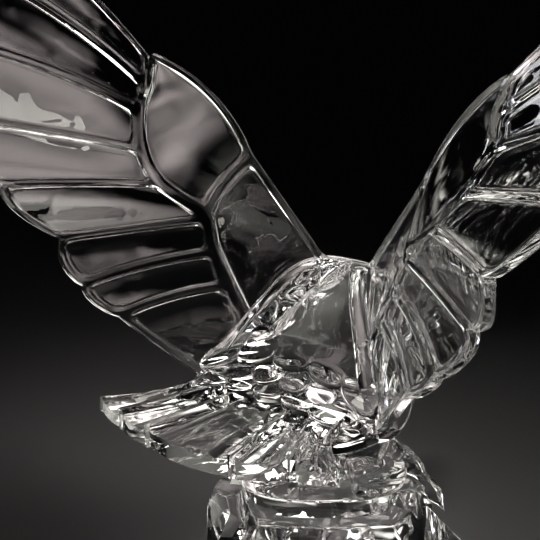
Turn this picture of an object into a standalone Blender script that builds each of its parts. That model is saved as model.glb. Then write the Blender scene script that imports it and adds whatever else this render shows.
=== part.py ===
"""Crystal eagle on a rock: one solid piece of clear glass.

The bird faces -Y, its left wing reaches out to +X, and the flat underside of
the rock is centred on the origin. All sizes below are in millimetres, and the
forms are measured from the point midway between the bird's shoulders.
"""

import math

import bmesh
import bpy
from mathutils import Vector

MM = 0.001

# Where the bird stands over its rock
SHOULDER_HEIGHT = 125.0
SHOULDER_SETBACK = -5.0

# Wing: one curved plate, swept back and leaning outwards from the shoulder
SHOULDER_HALF_WIDTH = 12.7
WING_SWEEP = math.radians(39.1)
WING_LEAN = math.radians(13.3)
THICKNESS_TIP = 4.6
THICKNESS_VEIN = 6.2
THICKNESS_ROOT = 10.0
PANEL_RECESS = 1.05
RIB_HALF_WIDTH = 1.2
RIB_SLOPE_WIDTH = 1.4
RIM_THINNING = 0.6
COVERT_SPACING = 12.0
# How far the wing runs on into the body: out, back, up
WING_TUCK = (-10.3, -3.0, -5.4)

# Where the wing's surface is measured: shares of a feather, and of the wing's reach
WING_COLUMNS = (0.0, 0.07, 0.22, 0.5, 0.84)
WING_ROWS = (0.0, 0.09, 0.5, 0.91, 1.0, 1.08, 1.35, 1.65, 1.92, 2.0)

# Leading edge in the wing's plane: out from the body, and up from the body
WRIST = (64.4, 77.6)
ELBOW = (26.0, 37.4)
SHOULDER_END = (-1.0, -1.5)
FOREARM_BOW = 5.6
LEADING_EDGE_FORWARD = 2.4
COVERT_BOW = 2.4
COVERT_RIB = 5

# The ribs between the feathers, from the leading edge to the body:
# root out, root up, tip out, tip up, bow, backward lift at root, middle and tip
RIBS = [
    (66.8, 76.6, 141.2, 148.4, 3.6, -2.0, -8.5, -4.0),
    (67.5, 64.6, 155.0, 121.0, 5.5, -0.5, -10.0, -5.0),
    (70.4, 54.0, 155.0, 85.0, 4.5, 0.5, -10.0, -2.0),
    (69.6, 39.4, 143.0, 51.5, 0.5, 4.5, 2.0, 14.0),
    (62.6, 25.6, 121.5, 25.6, 0.8, 7.0, 11.0, 18.0),
    (45.0, 12.4, 101.4, 5.4, 0.2, 5.6, 5.0, 6.6),
    (41.2, -0.8, 92.9, -13.2, 1.8, 5.0, 5.5, 9.2),
    (36.0, -13.8, 79.0, -25.3, 2.0, 3.3, 5.0, 9.5),
    (29.7, -27.3, 47.4, -50.2, 0.0, 1.2, 1.0, 0.5),
]
FEATHER_TIP_BULGE = [9.0, 8.0, 7.0, 6.0, 5.6, 4.0, 3.0, 0.6]
LAST_RIB = len(RIBS) - 1

# Tail: a flat fan of five feathers
TAIL_TOP = -43.0
TAIL_THICKNESS_MIDDLE = 8.4
TAIL_THICKNESS_EDGE = 5.5
TAIL_ROOT_BACK = 30.0
TAIL_CORNER_DROP = 1.5
# Ribs from the side to the middle: root half width, tip half width, tip back, flare
TAIL_RIBS = [
    (32.0, 51.5, 84.0, 3.5),
    (20.0, 36.0, 89.3, 1.5),
    (9.0, 18.8, 93.8, 1.0),
]
TAIL_TIP_BULGE = (3.4, 1.8, 1.4)
TAIL_RECESS = 1.8
TAIL_RIB_HALF_WIDTH = 0.8
TAIL_RIB_SLOPE = 3.5
TAIL_RIGHT_SHORTER = 5.0

# Body and neck, from the rump to the face:
# back line (back, up), belly line (back, up), half width, squareness of the back
STATIONS = [
    (44.0, -49.0, 43.0, -55.0, 20.0, 2.0),
    (44.0, -43.0, 38.0, -60.0, 36.0, 2.2),
    (38.0, -37.0, 28.0, -64.0, 43.5, 2.5),
    (26.0, -24.5, 8.0, -71.0, 40.0, 3.0),
    (13.0, -11.5, -12.0, -74.0, 33.0, 3.4),
    (0.0, -2.5, -27.0, -64.0, 26.0, 3.4),
    (-12.0, -6.0, -36.0, -50.0, 20.0, 2.6),
    (-25.0, -11.0, -43.0, -42.0, 15.0, 2.2),
    (-38.0, -15.0, -51.0, -40.0, 13.5, 2.1),
    (-50.0, -20.0, -58.0, -40.0, 12.0, 2.1),
    (-60.0, -27.0, -62.0, -39.0, 8.5, 2.0),
    (-64.0, -32.0, -64.0, -37.0, 4.0, 2.0),
]

BELLY_SQUARENESS = 2.2

# Hooked beak: middle line (back, up), half width, half height
BEAK = [
    (-56.0, -31.5, 6.5, 6.5),
    (-63.0, -33.0, 5.6, 5.8),
    (-69.0, -35.5, 4.4, 4.8),
    (-73.5, -40.0, 3.0, 3.4),
    (-74.5, -45.5, 1.3, 1.6),
]

# Thighs and feet
THIGH_PLACE = (11.0, 5.0, -70.0)
THIGH_SIZE = (12.5, 17.0, 18.0)
FOOT_PLACE = (13.0, -3.0, -80.0)
TOE_SPREAD = math.radians(31.0)
TOE_TURN_OUT = math.radians(22.0)
TOE_LENGTH = 33.0
TOE_START = 2.0
TOE_THICKNESS = 4.6
TOE_DROP = 30.0
TOE_KNUCKLES = 0.24
HIND_TOE_PLACE = (9.0, 8.0, -79.0)
HIND_TOE_LENGTH = 14.0
HIND_TOE_DROP = 9.0
HIND_TOE_TURN = math.radians(14.0)

# Rump: layers of short feathers over the root of the tail, each with a scalloped
# lower edge: back, up, half width, scallops, slope, length, how far the sides
# come back and drop
RUMP_LAYERS = [
    (35.5, -34.4, 40.0, 5, 38.0, 12.0, 6.0, 9.0),
    (42.5, -40.3, 37.0, 6, 30.0, 11.0, 5.5, 6.5),
    (50.0, -42.8, 32.0, 5, 12.0, 13.0, 3.5, 2.5),
]
RUMP_THICKNESS = 3.0
RUMP_SEAT = 4.5
RUMP_EDGE = 0.5
SCALLOP_REACH = 4.6
SCALLOP_CROWN = 1.9
SCALLOP_FULLNESS = 0.55
CROWN_SHARE_BELOW = 0.3
COLUMNS_PER_SCALLOP = 4

# Raised line where each wing's back meets the body: out, back, up
CREASE = [
    (8.5, 2.0, -3.0),
    (12.2, 10.1, -4.1),
    (16.2, 16.5, -7.8),
    (20.4, 22.0, -14.2),
    (25.3, 27.2, -22.0),
    (30.8, 33.1, -32.3),
    (36.2, 38.5, -42.9),
    (40.0, 42.0, -50.0),
]
CREASE_THICKNESS = 2.3

# Flank: a flat rim that runs from the wing's foot along the tail
FLANK_MIDDLE = (29.0, 50.0, -50.6)
FLANK_SIZE = (12.0, 17.5, 2.7)
FLANK_SLOPE = 0.2
FLANK_SQUARENESS = 4.0
FLANK_FULLNESS = 0.35

# Rock: a smooth drum under the bird, a waist and a faceted base. Its places are
# right, near and up for somebody who stands behind the bird's left shoulder
FLOOR_CUT = Vector((240.0, 240.0, 60.0))
ROCK_MIDDLE = (5.0, 9.0)
ROCK_TURN = math.radians(37.3)
DRUM = ((1.0, 0.0, -90.5), (35.0, 18.0, 10.5), 3.0)
WAIST = ((2.0, 0.0, -104.0), (29.0, 15.0, 14.0), 2.2)
ROCK_SQUARENESS = 2.6
# Corners of the base: angle from near to right, top radius, top, bottom radius
BASE_CORNERS = [
    (15.0, 24.0, -105.0, 42.0),
    (52.0, 36.0, -104.0, 53.0),
    (90.0, 44.0, -106.0, 66.0),
    (138.0, 35.0, -103.0, 49.0),
    (185.0, 30.0, -106.0, 43.0),
    (230.0, 32.0, -104.0, 45.0),
    (272.0, 30.0, -106.0, 43.0),
    (312.0, 33.0, -104.0, 47.0),
]
BASE_BOTTOM = -130.0

# Stones around it: middle, half sizes, turn, how far out the corners are cut
BOULDERS = [
    ((-37.5, 0.0, -113.0), (8.8, 13.0, 13.8), 12.0, 0.92),
    ((36.0, -4.0, -112.0), (13.0, 14.0, 12.0), 25.0, 0.80),
    ((-1.0, -31.0, -112.0), (19.0, 16.0, 18.0), 40.0, 0.80),
    ((24.0, -22.0, -114.0), (17.0, 15.0, 18.0), -12.0, 0.82),
]


# Slender forms that cross others at shallow angles, where the exact union leaves gaps
SLENDER_FORMS = ("crease", "flank", "thigh", "toe", "toe_1", "toe_2", "toe_3", "tail",
                 "layer_1", "layer_2", "layer_3")


def lerp(start, end, share):
    return tuple(p + (q - p) * share for p, q in zip(start, end))


def smooth(share):
    share = min(max(share, 0.0), 1.0)
    return share * share * (3.0 - 2.0 * share)


def spline(rows, place):
    """Read a smooth curve through the rows at a place counted in rows."""
    index = min(int(place), len(rows) - 2)
    share = place - index
    before = rows[max(index - 1, 0)]
    after = rows[min(index + 2, len(rows) - 1)]
    result = []
    for p0, p1, p2, p3 in zip(before, rows[index], rows[index + 1], after):
        slope1, slope2 = (p2 - p0) / 2.0, (p3 - p1) / 2.0
        c2 = 3.0 * (p2 - p1) - 2.0 * slope1 - slope2
        c3 = 2.0 * (p1 - p2) + slope1 + slope2
        result.append(p1 + share * (slope1 + share * (c2 + share * c3)))
    return tuple(result)


def bowed(start, end, bow, share):
    """A point on a shallow arc; a positive bow bends it to the left."""
    out, up = end[0] - start[0], end[1] - start[1]
    length = math.hypot(out, up)
    lift = bow * 4.0 * share * (1.0 - share)
    return (start[0] + out * share - up / length * lift,
            start[1] + up * share + out / length * lift)


def to_row(right_left, back, up):
    """From the bird's own measure to the row's frame, in metres."""
    return Vector((right_left, back + SHOULDER_SETBACK, up + SHOULDER_HEIGHT)) * MM


def leading_edge(rib):
    if rib <= COVERT_RIB:
        return bowed(ELBOW, WRIST, FOREARM_BOW, 1.0 - rib / COVERT_RIB)
    return lerp(ELBOW, SHOULDER_END, (rib - COVERT_RIB) / (LAST_RIB - COVERT_RIB))


def wing_plan(rib, reach):
    """Place in the wing's plane. rib counts the ribs from the wrist to the
    body, reach goes 0 at the leading edge, 1 at the vein, 2 at the outline."""
    vein = spline([row[:2] for row in RIBS], rib)
    if reach <= 1.0:
        near_covert = 1.0 - min(abs(rib - COVERT_RIB) / 3.0, 1.0)
        return bowed(leading_edge(rib), vein, COVERT_BOW * smooth(near_covert), reach)
    run = reach - 1.0
    first = min(int(rib), LAST_RIB - 1)
    share = rib - first
    near, far = RIBS[first], RIBS[first + 1]
    on_near = bowed(near[:2], near[2:4], near[4], run)
    on_far = bowed(far[:2], far[2:4], far[4], run)
    place = lerp(on_near, on_far, share)
    straight = lerp(near[:2], far[:2], share)
    place = (place[0] + (vein[0] - straight[0]) * (1.0 - run),
             place[1] + (vein[1] - straight[1]) * (1.0 - run))
    along = lerp(near[2:4], far[2:4], share)
    along = (along[0] - straight[0], along[1] - straight[1])
    bulge = FEATHER_TIP_BULGE[first] * math.sin(math.pi * share) ** 0.7 * run ** 2
    length = math.hypot(*along)
    return (place[0] + along[0] / length * bulge, place[1] + along[1] / length * bulge)


def wing_lift(rib, reach):
    """Height of the plate's middle over the wing's flat plane."""
    root, middle, tip = spline([row[5:] for row in RIBS], rib)
    if reach <= 1.0:
        return (root * math.sin(reach * math.pi / 2.0)
                - LEADING_EDGE_FORWARD * math.cos(reach * math.pi / 2.0))
    run = reach - 1.0
    return root + (middle - root) * (1.0 - (1.0 - run) ** 4) + (tip - middle) * run ** 2


def wing_half_thickness(rib, reach):
    root = smooth((rib - COVERT_RIB) / (LAST_RIB - COVERT_RIB))
    vein = THICKNESS_VEIN + (THICKNESS_ROOT - THICKNESS_VEIN) * root
    first = min(int(rib), LAST_RIB - 1)
    share = rib - first
    # Each panel is a shallow pocket between its ribs
    if reach <= 1.0:
        full = vein + (THICKNESS_TIP - vein) * (1.0 - reach) * RIM_THINNING
        start, end = (0, COVERT_RIB) if rib <= COVERT_RIB else (COVERT_RIB, LAST_RIB)
        across = min(rib - start, end - rib) * COVERT_SPACING
        along = min(reach, 1.0 - reach) * math.dist(wing_plan(rib, 0.0), wing_plan(rib, 1.0))
    else:
        full = vein + (THICKNESS_TIP - vein) * (reach - 1.0)
        across = (min(share, 1.0 - share)
                  * math.dist(wing_plan(first, reach), wing_plan(first + 1, reach)))
        along = min(reach - 1.0, 2.0 - reach) * math.dist(wing_plan(rib, 1.0), wing_plan(rib, 2.0))
    depth = smooth((across - RIB_HALF_WIDTH) / RIB_SLOPE_WIDTH)
    depth *= smooth((along - RIB_HALF_WIDTH) / (2.0 * RIB_SLOPE_WIDTH))
    return full / 2.0 - PANEL_RECESS * depth


def wing_point(side, rib, reach, face):
    tuck = max(rib - LAST_RIB, 0.0)
    rib = min(rib, LAST_RIB)
    out, up = wing_plan(rib, reach)
    lift = wing_lift(rib, reach) + face * wing_half_thickness(rib, reach)
    sweep, lean = WING_SWEEP, WING_LEAN
    outward = Vector((math.cos(sweep), math.sin(sweep), 0.0))
    normal = Vector((-math.sin(sweep) * math.cos(lean), math.cos(sweep) * math.cos(lean),
                     math.sin(lean)))
    upward = outward.cross(normal)
    place = Vector((SHOULDER_HALF_WIDTH, 0.0, 0.0))
    place += outward * out + upward * up + normal * lift
    place += Vector(WING_TUCK) * tuck
    return to_row(side * place.x, place.y, place.z)


def plate(name, columns, rows, surface):
    """A closed plate: surface(column, row, face) gives its two faces."""
    shape = bmesh.new()
    for face in (1.0, -1.0):
        made = bmesh.ops.create_grid(shape, x_segments=len(columns) - 1,
                                     y_segments=len(rows) - 1, size=0.5)
        for vert in made["verts"]:
            column = columns[round((vert.co.x + 0.5) * (len(columns) - 1))]
            row = rows[round((vert.co.y + 0.5) * (len(rows) - 1))]
            vert.co = surface(column, row, face)
    rims = [edge for edge in shape.edges if edge.is_boundary]
    bmesh.ops.bridge_loops(shape, edges=rims)
    return finish(name, shape)


def finish(name, shape):
    bmesh.ops.remove_doubles(shape, verts=shape.verts, dist=0.00002)
    bmesh.ops.recalc_face_normals(shape, faces=shape.faces)
    mesh = bpy.data.meshes.new(name)
    shape.to_mesh(mesh)
    shape.free()
    return bpy.data.objects.new(name, mesh)


def make_wing(side):
    columns = [k + share for k in range(LAST_RIB) for share in WING_COLUMNS]
    columns += [float(LAST_RIB), LAST_RIB + 1.0]
    return plate("left_wing" if side > 0 else "right_wing", columns, WING_ROWS,
                 lambda column, row, face: wing_point(side, column, row, face))


def tail_point(across, run, face):
    """across counts ribs from the middle, run goes from the root to the tips."""
    sign = -1.0 if across < 0 else 1.0
    place = abs(across)
    ribs = [(-TAIL_RIBS[2][0], -TAIL_RIBS[2][1], TAIL_RIBS[2][2], 1.0)] + TAIL_RIBS[::-1]
    first = min(int(place + 0.5), 2)
    share = place + 0.5 - first
    near, far = ribs[first], ribs[first + 1]
    ends = []
    for root, tip, back, flare in (near, far):
        ends.append((root + (tip - root) * run ** flare,
                     TAIL_ROOT_BACK + (back - TAIL_ROOT_BACK) * run))
    x, y = lerp(ends[0], ends[1], share)
    y += TAIL_TIP_BULGE[first] * math.sin(math.pi * share) ** 0.8 * run ** 2
    if sign < 0:
        y -= TAIL_RIGHT_SHORTER * smooth(place - 0.5) * run
    width = math.dist(ends[0], ends[1])
    depth = smooth((min(share, 1.0 - share) * width - TAIL_RIB_HALF_WIDTH) / TAIL_RIB_SLOPE)
    depth *= smooth(run * 2.0)
    edge = (place / 2.5) ** 3
    thick = TAIL_THICKNESS_MIDDLE + (TAIL_THICKNESS_EDGE - TAIL_THICKNESS_MIDDLE) * edge
    z = TAIL_TOP - TAIL_CORNER_DROP * edge * run
    z -= TAIL_RECESS * depth if face > 0 else thick
    return to_row(sign * x, y, z)


def make_tail():
    half = [0.0, 0.3, 0.5, 0.7, 1.0, 1.3, 1.5, 1.7, 2.0, 2.3, 2.5]
    columns = [-c for c in half[:0:-1]] + half
    return plate("tail", columns, [0.0, 0.3, 0.55, 0.8, 0.94, 1.0], tail_point)


def rounded(name, segments, rings, surface):
    """A closed round form: surface(along, around) over a sphere's grid."""
    shape = bmesh.new()
    bmesh.ops.create_uvsphere(shape, u_segments=segments, v_segments=rings, radius=1.0)
    for vert in shape.verts:
        along = math.acos(min(max(vert.co.z, -1.0), 1.0)) / math.pi
        around = math.atan2(vert.co.y, vert.co.x)
        vert.co = surface(along, around)
    return finish(name, shape)


def power(value, squareness):
    return math.copysign(abs(value) ** (2.0 / squareness), value)


def body_point(along, around):
    back_y, back_z, belly_y, belly_z, width, square = spline(STATIONS, along * (len(STATIONS) - 1))
    closing = min(along, 1.0 - along) * 14.0
    round_off = math.sqrt(1.0 - (1.0 - min(closing, 1.0)) ** 2)
    square = square if around > 0 else BELLY_SQUARENESS
    level = power(math.sin(around), square) * round_off
    x = power(math.cos(around), square) * width * round_off
    y = (back_y + belly_y) / 2.0 + (back_y - belly_y) / 2.0 * level
    z = (back_z + belly_z) / 2.0 + (back_z - belly_z) / 2.0 * level
    return to_row(x, y, z)


def beak_point(along, around):
    y, z, width, height = spline(BEAK, along * (len(BEAK) - 1))
    ahead = spline(BEAK, min(along * (len(BEAK) - 1) + 0.1, len(BEAK) - 1.0))
    behind = spline(BEAK, max(along * (len(BEAK) - 1) - 0.1, 0.0))
    run = math.atan2(ahead[1] - behind[1], ahead[0] - behind[0])
    round_off = min(1.0, min(along, 1.0 - along) * 12.0)
    offset = math.sin(around) * height * round_off
    return to_row(math.cos(around) * width * round_off,
                  y + math.sin(run) * offset, z - math.cos(run) * offset)


def ellipsoid(name, middle, half, segments, rings):
    def surface(along, around):
        x = math.sin(along * math.pi) * math.cos(around) * half[0]
        y = math.sin(along * math.pi) * math.sin(around) * half[1]
        z = math.cos(along * math.pi) * half[2]
        return to_row(middle[0] + x, middle[1] + y, middle[2] + z)
    return rounded(name, segments, rings, surface)


def make_toe(name, start, turn, length, thickness, drop):
    """A toe that runs out over the rock and ends in a down-curved claw."""
    def surface(along, around):
        reach = length * along
        fall = drop * along ** 2.2
        bend = math.atan2(drop * 2.2 * along ** 1.2, length)
        radius = thickness * (1.0 - 0.6 * along) + 0.5
        radius *= min(1.0, min(along, 1.0 - along) * 9.0)
        radius *= 1.0 + TOE_KNUCKLES * math.cos(along * math.pi * 7.0)
        side = math.cos(around) * radius
        lift = math.sin(around) * radius
        ahead = reach - TOE_START + lift * math.sin(bend)
        x = start[0] + math.sin(turn) * ahead + math.cos(turn) * side
        y = start[1] - math.cos(turn) * ahead + math.sin(turn) * side
        return to_row(x, y, start[2] - fall + lift * math.cos(bend))
    return rounded(name, 8, 9, surface)


def make_boulder(name, middle, half, turn, depth):
    """A block with its corners and upper edges cut off to flat facets."""
    shape = bmesh.new()
    bmesh.ops.create_cube(shape, size=2.0)
    for step in range(8):
        angle = math.radians(turn + step * 45.0 + 11.0 * (step % 3))
        rise = (0.35, 0.95)[step % 2]
        normal = Vector((math.cos(angle), math.sin(angle), rise)).normalized()
        cut = bmesh.ops.bisect_plane(
            shape, geom=shape.verts[:] + shape.edges[:] + shape.faces[:],
            plane_co=normal * (depth + 0.22 * (step % 2)), plane_no=normal, clear_outer=True)
        rim = [item for item in cut["geom_cut"] if isinstance(item, bmesh.types.BMEdge)]
        if rim:
            bmesh.ops.edgeloop_fill(shape, edges=rim)
    for vert in shape.verts:
        vert.co = rock_place(*(place + unit * size for place, unit, size
                               in zip(middle, vert.co, half)))
    return finish(name, shape)


def rock_place(right, near, up):
    """From the rock's own measure to the row's frame."""
    return to_row(ROCK_MIDDLE[0] - math.cos(ROCK_TURN) * right - math.sin(ROCK_TURN) * near,
                  ROCK_MIDDLE[1] - math.sin(ROCK_TURN) * right + math.cos(ROCK_TURN) * near, up)


def make_pebble(name, middle, half, squareness):
    """A smooth block with soft corners."""
    def surface(along, around):
        ring = max(math.sin(along * math.pi), 0.0) ** (2.0 / squareness)
        right = power(math.cos(around), ROCK_SQUARENESS) * ring * half[0]
        near = power(math.sin(around), ROCK_SQUARENESS) * ring * half[1]
        up = power(math.cos(along * math.pi), squareness) * half[2]
        return rock_place(middle[0] + right, middle[1] + near, middle[2] + up)
    return rounded(name, 18, 8, surface)


def make_base():
    """The faceted foot of the rock."""
    shape = bmesh.new()
    sides = len(BASE_CORNERS)
    bmesh.ops.create_cone(shape, cap_ends=True, segments=sides, radius1=1.0, radius2=1.0, depth=1.0)
    for vert in shape.verts:
        number = round(math.atan2(vert.co.y, vert.co.x) / (2.0 * math.pi) * sides) % sides
        angle, top_radius, top, bottom_radius = BASE_CORNERS[number]
        reach, up = (top_radius, top) if vert.co.z > 0 else (bottom_radius, BASE_BOTTOM)
        angle = math.radians(angle)
        vert.co = rock_place(math.sin(angle) * reach, math.cos(angle) * reach, up)
    return finish("base", shape)


def make_floor():
    """What is cut off below the flat underside."""
    shape = bmesh.new()
    bmesh.ops.create_cube(shape, size=1.0)
    bmesh.ops.scale(shape, verts=shape.verts, vec=FLOOR_CUT * MM)
    bmesh.ops.translate(shape, verts=shape.verts, vec=(0.0, 0.0, -FLOOR_CUT.z / 2.0 * MM))
    return finish("below_the_underside", shape)


def make_rump():
    layers = []
    for number, layer in enumerate(RUMP_LAYERS):
        back, up, half_width, scallops, slope, length, side_back, side_drop = layer
        slope = math.radians(slope)

        def surface(column, row, face):
            share = 2.0 * column / (COLUMNS_PER_SCALLOP * scallops) - 1.0
            hidden = row ** 2
            scallop = abs(math.sin(math.pi * scallops * (share + 1.0) / 2.0)) ** SCALLOP_FULLNESS
            edge = SCALLOP_REACH * scallop
            along = edge - hidden * (length + edge)
            over = face * RUMP_THICKNESS / 2.0 * (1.0 if row else RUMP_EDGE)
            crown = SCALLOP_CROWN * scallop * (1.0 - hidden) ** 2
            seat = RUMP_SEAT * smooth(hidden * 4.0)
            over += crown if face > 0 else crown * CROWN_SHARE_BELOW - seat
            y = back + side_back * share ** 2 + along * math.cos(slope) + over * math.sin(slope)
            z = up - side_drop * share ** 2 - along * math.sin(slope) + over * math.cos(slope)
            return to_row(half_width * share, y, z)

        columns = range(COLUMNS_PER_SCALLOP * scallops + 1)
        layers.append(plate(f"rump_layer_{number + 1}", columns, [0.0, 0.5, 1.0], surface))
    return layers


def make_crease(side):
    def surface(along, around):
        place = along * (len(CREASE) - 1)
        x, y, z = spline(CREASE, place)
        ahead = Vector(spline(CREASE, min(place + 0.05, len(CREASE) - 1.0)))
        run = (ahead - Vector(spline(CREASE, max(place - 0.05, 0.0)))).normalized()
        across = run.cross(Vector((0.0, 0.0, 1.0))).normalized()
        radius = CREASE_THICKNESS * min(1.0, min(along, 1.0 - along) * 12.0)
        offset = across * math.cos(around) * radius + across.cross(run) * math.sin(around) * radius
        return to_row(side * (x + offset.x), y + offset.y, z + offset.z)
    return rounded("left_crease" if side > 0 else "right_crease", 6, 14, surface)


def make_flank(side):
    def surface(along, around):
        round_off = math.sin(along * math.pi) ** FLANK_FULLNESS
        x = power(math.cos(around), FLANK_SQUARENESS) * FLANK_SIZE[0] * round_off
        y = power(math.sin(around), FLANK_SQUARENESS) * FLANK_SIZE[1] * round_off
        z = power(math.cos(along * math.pi), FLANK_SQUARENESS) * FLANK_SIZE[2]
        z += FLANK_SLOPE * y
        return to_row(side * (FLANK_MIDDLE[0] + x), FLANK_MIDDLE[1] + y, FLANK_MIDDLE[2] + z)
    return rounded("left_flank" if side > 0 else "right_flank", 16, 6, surface)


def glass():
    material = bpy.data.materials.new("clear_crystal")
    material.use_nodes = True
    shader = material.node_tree.nodes["Principled BSDF"]
    shader.inputs["Base Color"].default_value = (1.0, 1.0, 1.0, 1.0)
    shader.inputs["Roughness"].default_value = 0.02
    shader.inputs["IOR"].default_value = 1.54
    shader.inputs["Transmission Weight"].default_value = 1.0
    return material


def main():
    for item in list(bpy.data.objects):
        bpy.data.objects.remove(item, do_unlink=True)
    sculpture = bpy.data.collections.new("crystal_eagle_sculpture")
    forms = bpy.data.collections.new("forms_to_join")
    bpy.context.scene.collection.children.link(sculpture)
    bpy.context.scene.collection.children.link(forms)

    eagle = rounded("crystal_eagle", 26, 27, body_point)
    eagle.data.materials.append(glass())
    sculpture.objects.link(eagle)

    parts = [make_wing(1.0), make_wing(-1.0), make_tail(),
             rounded("beak", 10, 8, beak_point)]
    parts += make_rump()
    for side, word in ((1.0, "left"), (-1.0, "right")):
        parts += [make_crease(side), make_flank(side)]
        parts.append(ellipsoid(f"{word}_thigh", (side * THIGH_PLACE[0],) + THIGH_PLACE[1:],
                               THIGH_SIZE, 12, 7))
        foot = (side * FOOT_PLACE[0],) + FOOT_PLACE[1:]
        for toe in (-1, 0, 1):
            parts.append(make_toe(f"{word}_toe_{toe + 2}", foot,
                                  side * (toe * TOE_SPREAD + TOE_TURN_OUT),
                                  TOE_LENGTH, TOE_THICKNESS, TOE_DROP))
        hind = (side * HIND_TOE_PLACE[0],) + HIND_TOE_PLACE[1:]
        parts.append(make_toe(f"{word}_hind_toe", hind, math.pi - side * HIND_TOE_TURN,
                              HIND_TOE_LENGTH, TOE_THICKNESS, HIND_TOE_DROP))
    for index, (middle, half, turn, depth) in enumerate(BOULDERS):
        parts.append(make_boulder(f"boulder_{index + 1}", middle, half, turn, depth))
    parts += [make_pebble("drum", *DRUM), make_pebble("waist", *WAIST), make_base()]

    for form in parts + [make_floor()]:
        forms.objects.link(form)
        form.hide_render = True
        form.display_type = 'WIRE'
        step = eagle.modifiers.new(form.name, 'BOOLEAN')
        step.operation = 'UNION' if form in parts else 'DIFFERENCE'
        step.solver = 'MANIFOLD' if form.name.endswith(SLENDER_FORMS) else 'EXACT'
        step.object = form


main()
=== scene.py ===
import math

import bmesh
import bpy
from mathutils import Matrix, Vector


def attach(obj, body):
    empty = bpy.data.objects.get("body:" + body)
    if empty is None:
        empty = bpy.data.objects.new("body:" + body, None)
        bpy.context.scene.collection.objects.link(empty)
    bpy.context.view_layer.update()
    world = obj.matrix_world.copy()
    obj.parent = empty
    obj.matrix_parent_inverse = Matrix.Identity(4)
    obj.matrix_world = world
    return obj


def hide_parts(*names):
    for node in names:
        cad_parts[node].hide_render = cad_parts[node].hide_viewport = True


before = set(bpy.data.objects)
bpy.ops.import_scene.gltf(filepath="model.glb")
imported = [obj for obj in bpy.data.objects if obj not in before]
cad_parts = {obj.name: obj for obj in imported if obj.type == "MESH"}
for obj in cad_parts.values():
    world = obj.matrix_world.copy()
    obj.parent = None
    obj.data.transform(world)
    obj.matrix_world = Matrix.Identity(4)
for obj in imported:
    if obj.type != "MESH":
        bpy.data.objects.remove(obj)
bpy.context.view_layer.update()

# The whole sculpture is one casting of clear lead crystal. Lengths are in
# millimetres from the point midway between the bird's shoulders: x to the bird's
# left, y backwards, z up.
MM = 0.001
SHOULDER_HEIGHT = 125.0
SHOULDER_SETBACK = -5.0

# Wing plate
SHOULDER_HALF_WIDTH = 12.7
WING_SWEEP = math.radians(39.1)
WING_LEAN = math.radians(13.3)
THICKNESS_TIP = 4.6
THICKNESS_VEIN = 6.2
THICKNESS_ROOT = 10.0
WING_TUCK = (-10.3, -3.0, -5.4)
WRIST = (64.4, 77.6)
ELBOW = (26.0, 37.4)
SHOULDER_END = (-1.0, -1.5)
FOREARM_BOW = 5.6
COVERT_BOW = 2.4
COVERT_BOW_RIBS = 3.0
COVERT_RIB = 5
COVERT_SPACING = 11.0
LEADING_EDGE_FORWARD = 2.4
RIM_ROUND = 0.9
RIM_THINNING = 0.6
RIM_BORDER = 1.0
LEADING_RIM_BORDER = 1.2
RIB_TOP = 0.9
RIB_FALL = 1.4
VEIN_TOP = 1.8
PANEL_RECESS = 1.05
PANEL_PILLOW = 0.55
CORNER_ROUND = 4.5

# Wing ribs: root out, root up, tip out, tip up, bow, lift at root, middle and tip
RIBS = [
    (66.8, 76.6, 141.2, 148.4, 3.6, -2.0, -8.5, -4.0),
    (67.5, 64.6, 155.0, 121.0, 5.5, -0.5, -10.0, -5.0),
    (70.4, 54.0, 155.0, 85.0, 4.5, 0.5, -10.0, -2.0),
    (69.6, 39.4, 143.0, 51.5, 0.5, 4.5, 2.0, 14.0),
    (62.6, 25.6, 121.5, 25.6, 0.8, 7.0, 11.0, 18.0),
    (45.0, 12.4, 101.4, 5.4, 0.2, 5.6, 5.0, 6.6),
    (41.2, -0.8, 92.9, -13.2, 1.8, 5.0, 5.5, 9.2),
    (36.0, -13.8, 79.0, -25.3, 2.0, 3.3, 5.0, 9.5),
    (29.7, -27.3, 47.4, -50.2, 0.0, 1.2, 1.0, 0.5),
]
FEATHER_TIP_BULGE = [8.6, 7.8, 7.0, 6.0, 5.6, 4.0, 3.0, 0.6]
FEATHER_TIP_FULLNESS = 0.7
LAST_RIB = len(RIBS) - 1


def lerp(start, end, share):
    return tuple(p + (q - p) * share for p, q in zip(start, end))


def smooth(share):
    share = min(max(share, 0.0), 1.0)
    return share * share * (3.0 - 2.0 * share)


def spline(rows, place):
    """Read a smooth curve through the rows at a place counted in rows."""
    index = min(int(place), len(rows) - 2)
    share = place - index
    before = rows[max(index - 1, 0)]
    after = rows[min(index + 2, len(rows) - 1)]
    result = []
    for p0, p1, p2, p3 in zip(before, rows[index], rows[index + 1], after):
        slope1, slope2 = (p2 - p0) / 2.0, (p3 - p1) / 2.0
        c2 = 3.0 * (p2 - p1) - 2.0 * slope1 - slope2
        c3 = 2.0 * (p1 - p2) + slope1 + slope2
        result.append(p1 + share * (slope1 + share * (c2 + share * c3)))
    return tuple(result)


def bowed(start, end, bow, share):
    """A point on a shallow arc; a positive bow bends it to the left."""
    out, up = end[0] - start[0], end[1] - start[1]
    length = math.hypot(out, up)
    lift = bow * 4.0 * share * (1.0 - share)
    return (start[0] + out * share - up / length * lift,
            start[1] + up * share + out / length * lift)


def to_row(right_left, back, up):
    return Vector((right_left, back + SHOULDER_SETBACK, up + SHOULDER_HEIGHT)) * MM


def leading_edge(rib):
    if rib <= COVERT_RIB:
        return bowed(ELBOW, WRIST, FOREARM_BOW, 1.0 - rib / COVERT_RIB)
    return lerp(ELBOW, SHOULDER_END, (rib - COVERT_RIB) / (LAST_RIB - COVERT_RIB))


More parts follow.
